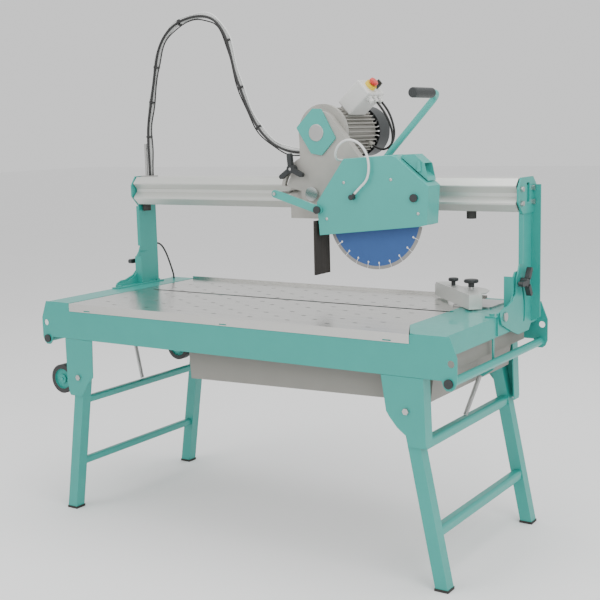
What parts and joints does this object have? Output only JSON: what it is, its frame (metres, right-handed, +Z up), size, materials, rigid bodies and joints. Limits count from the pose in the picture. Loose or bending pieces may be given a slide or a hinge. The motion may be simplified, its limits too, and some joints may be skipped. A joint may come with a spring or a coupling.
{
  "type": "bridge saw",
  "caption": "Bridge saw for tiles and slabs: stainless table on folding legs, tilting beam, and a motor head that rolls along it and plunges a round diamond blade.",
  "frame": {"origin": "on the floor, under the middle of the whole machine without its hoses", "axes": "+X along the table and the cut, +Y from the operator's side to the motor side, +Z up"},
  "size_m": [1.64, 0.807, 1.7717],
  "materials": {
    "frame_paint": "teal powder coat, light orange peel",
    "leg_paint": "teal powder coat, light orange peel",
    "guard_paint": "teal powder coat, smooth",
    "stainless": "cold rolled stainless sheet, fine rolling lines",
    "zinc_steel": "bright zinc plated steel",
    "bright_steel": "turned and ground steel",
    "cast_alloy": "cast aluminium, fine sand texture",
    "extruded_alloy": "satin anodised extrusion with long die lines",
    "tray_plastic": "grey moulded plastic, matt",
    "black_plastic": "black moulded plastic, fine grain",
    "grey_plastic": "light grey moulded plastic",
    "black_rubber": "matt black rubber",
    "red_plastic": "red moulded plastic",
    "blade_blue": "blue painted steel core, bare diamond rim",
    "hose_plastic": "pale hose with black cables along it",
    "cable_black": "black cable sheath",
    "white_hose": "white water hose"
  },
  "bodies": {
    "bench": {"side_aprons": "frame_paint", "left_end_panel": "frame_paint", "right_end_panel": "frame_paint", "carry_tubes": "frame_paint", "tube_caps": "black_plastic", "leg_brackets": "frame_paint", "pivot_bolts": "zinc_steel", "table_top": "stainless", "table_ribs": "zinc_steel", "water_tray": "tray_plastic", "tray_fittings": "zinc_steel", "water_pump": "black_plastic", "tilt_brackets": "frame_paint", "left_leg_spring": "zinc_steel", "right_leg_spring": "zinc_steel"},
    "left_leg": {"left_leg_frame": "leg_paint", "left_leg_feet": "black_rubber"},
    "right_leg": {"right_leg_frame": "leg_paint", "right_leg_feet": "black_rubber"},
    "front_wheel": {"front_wheel": "black_rubber"},
    "rear_wheel": {"rear_wheel": "black_rubber"},
    "fence_slider": {"fence_base": "zinc_steel"},
    "fence": {"fence_arm": "extruded_alloy", "fence_knobs": "black_plastic"},
    "bridge": {"left_column": "frame_paint", "right_column": "frame_paint", "bridge_beam": "extruded_alloy", "beam_end_plates": "frame_paint", "beam_end_bolts": "zinc_steel", "beam_bumpers": "black_rubber", "hose_mast": "zinc_steel", "hose_bundle": "hose_plastic", "column_cable": "cable_black"},
    "left_tilt_knob": {"left_tilt_knob": "black_plastic"},
    "right_tilt_knob": {"right_tilt_knob": "black_plastic"},
    "carriage": {"carriage_casting": "cast_alloy", "carriage_shafts": "bright_steel"},
    "top_left_roller": {"top_left_roller": "bright_steel"},
    "top_right_roller": {"top_right_roller": "bright_steel"},
    "lower_roller": {"lower_roller": "bright_steel"},
    "depth_knob": {"depth_knob": "black_plastic"},
    "head": {"head_arm": "cast_alloy", "belt_cover": "guard_paint", "motor_body": "cast_alloy", "fan_cover": "black_plastic", "switch_box": "grey_plastic", "drive_belt": "black_rubber", "head_handle": "guard_paint", "handle_grip": "black_plastic", "guard_hose": "white_hose", "motor_cable": "cable_black", "switch_cable": "cable_black"},
    "stop_button": {"stop_button": "red_plastic"},
    "motor_rotor": {"motor_pulley": "bright_steel"},
    "spindle": {"blade_spindle": "bright_steel", "saw_blade": "blade_blue"},
    "guard": {"blade_guard": "guard_paint", "splash_flap": "black_rubber", "tap_housing": "guard_paint"},
    "guard_link": {"guard_link": "guard_paint"}
  },
  "joints": [
    {"name": "left_leg_fold", "type": "hinge", "parent": "bench", "child": "left_leg", "pos_m": [-0.648, -0.0465, 0.495], "axis": [0, -1, 0], "range_deg": [0, 98], "deforming": ["left_leg_spring"]},
    {"name": "right_leg_fold", "type": "hinge", "parent": "bench", "child": "right_leg", "pos_m": [0.652, -0.0465, 0.53], "axis": [0, 1, 0], "range_deg": [0, 93], "deforming": ["right_leg_spring"]},
    {"name": "front_wheel_spin", "type": "hinge", "parent": "bench", "child": "front_wheel", "pos_m": [-0.742, -0.3695, 0.478], "axis": [0, 1, 0], "continuous": true},
    {"name": "rear_wheel_spin", "type": "hinge", "parent": "bench", "child": "rear_wheel", "pos_m": [-0.742, 0.2765, 0.478], "axis": [0, 1, 0], "continuous": true},
    {"name": "fence_slide", "type": "slide", "parent": "bench", "child": "fence_slider", "axis": [1, 0, 0], "range_m": [-0.3, 0]},
    {"name": "fence_swivel", "type": "hinge", "parent": "fence_slider", "child": "fence", "pos_m": [0.608, 0.1495, 0.79], "axis": [0, 0, 1], "range_deg": [0, 40]},
    {"name": "bridge_tilt", "type": "hinge", "parent": "bench", "child": "bridge", "pos_m": [0, -0.0055, 0.755], "axis": [1, 0, 0], "range_deg": [0, 45], "deforming": ["column_cable"]},
    {"name": "left_tilt_knob_turn", "type": "hinge", "parent": "bench", "child": "left_tilt_knob", "pos_m": [-0.8, 0.12572, 0.84654], "axis": [1, 0, 0], "continuous": true},
    {"name": "right_tilt_knob_turn", "type": "hinge", "parent": "bench", "child": "right_tilt_knob", "pos_m": [0.8, 0.12572, 0.84654], "axis": [1, 0, 0], "continuous": true},
    {"name": "carriage_slide", "type": "slide", "parent": "bridge", "child": "carriage", "axis": [1, 0, 0], "range_m": [-0.66, 0.28], "deforming": ["hose_bundle"]},
    {"name": "top_left_roll", "type": "hinge", "parent": "carriage", "child": "top_left_roller", "pos_m": [-0.008, 0.1655, 1.1931], "axis": [0, 1, 0], "range_deg": [-1900, 810]},
    {"name": "top_right_roll", "type": "hinge", "parent": "carriage", "child": "top_right_roller", "pos_m": [0.268, 0.1655, 1.1931], "axis": [0, 1, 0], "range_deg": [-1900, 810]},
    {"name": "lower_roll", "type": "hinge", "parent": "carriage", "child": "lower_roller", "pos_m": [0.13, 0.1655, 1.0479], "axis": [0, 1, 0], "range_deg": [-810, 1900]},
    {"name": "depth_knob_turn", "type": "hinge", "parent": "carriage", "child": "depth_knob", "pos_m": [-0.00494, 0.0285, 1.20706], "axis": [0, 1, 0], "continuous": true},
    {"name": "head_plunge", "type": "hinge", "parent": "carriage", "child": "head", "pos_m": [0.069, 0.0595, 1.122], "axis": [0, 1, 0], "range_deg": [0, 33], "deforming": ["switch_cable", "splash_flap"]},
    {"name": "stop_button_press", "type": "slide", "parent": "head", "child": "stop_button", "axis": [-0.7478, 0, -0.6639], "range_m": [0, 0.005], "stiffness_N_per_m": 600},
    {"name": "blade_spin", "type": "hinge", "parent": "head", "child": "spindle", "pos_m": [0.338, -0.0055, 1.056], "axis": [0, 1, 0], "continuous": true},
    {"name": "motor_spin", "type": "hinge", "parent": "head", "child": "motor_rotor", "pos_m": [0.092, 0.0595, 1.328], "axis": [0, 1, 0], "continuous": true},
    {"name": "guard_level", "type": "hinge", "parent": "head", "child": "guard", "pos_m": [0.338, -0.0055, 1.056], "axis": [0, 1, 0], "range_deg": [-20.1, 0], "deforming": ["guard_hose"]},
    {"name": "link_swing", "type": "hinge", "parent": "carriage", "child": "guard_link", "pos_m": [-0.02, -0.0535, 1.127], "axis": [0, 1, 0], "range_deg": [0, 39.5]}
  ],
  "couplings": [
    {"joint": "top_left_roll", "follows": "carriage_slide", "rad_per_m": 50},
    {"joint": "top_right_roll", "follows": "carriage_slide", "rad_per_m": 50},
    {"joint": "lower_roll", "follows": "carriage_slide", "rad_per_m": -50},
    {"joint": "motor_spin", "follows": "blade_spin", "ratio": 1},
    {"joint": "guard_level", "follows": "head_plunge", "ratio": -0.6076},
    {"joint": "link_swing", "follows": "head_plunge", "ratio": 1.188}
  ]
}
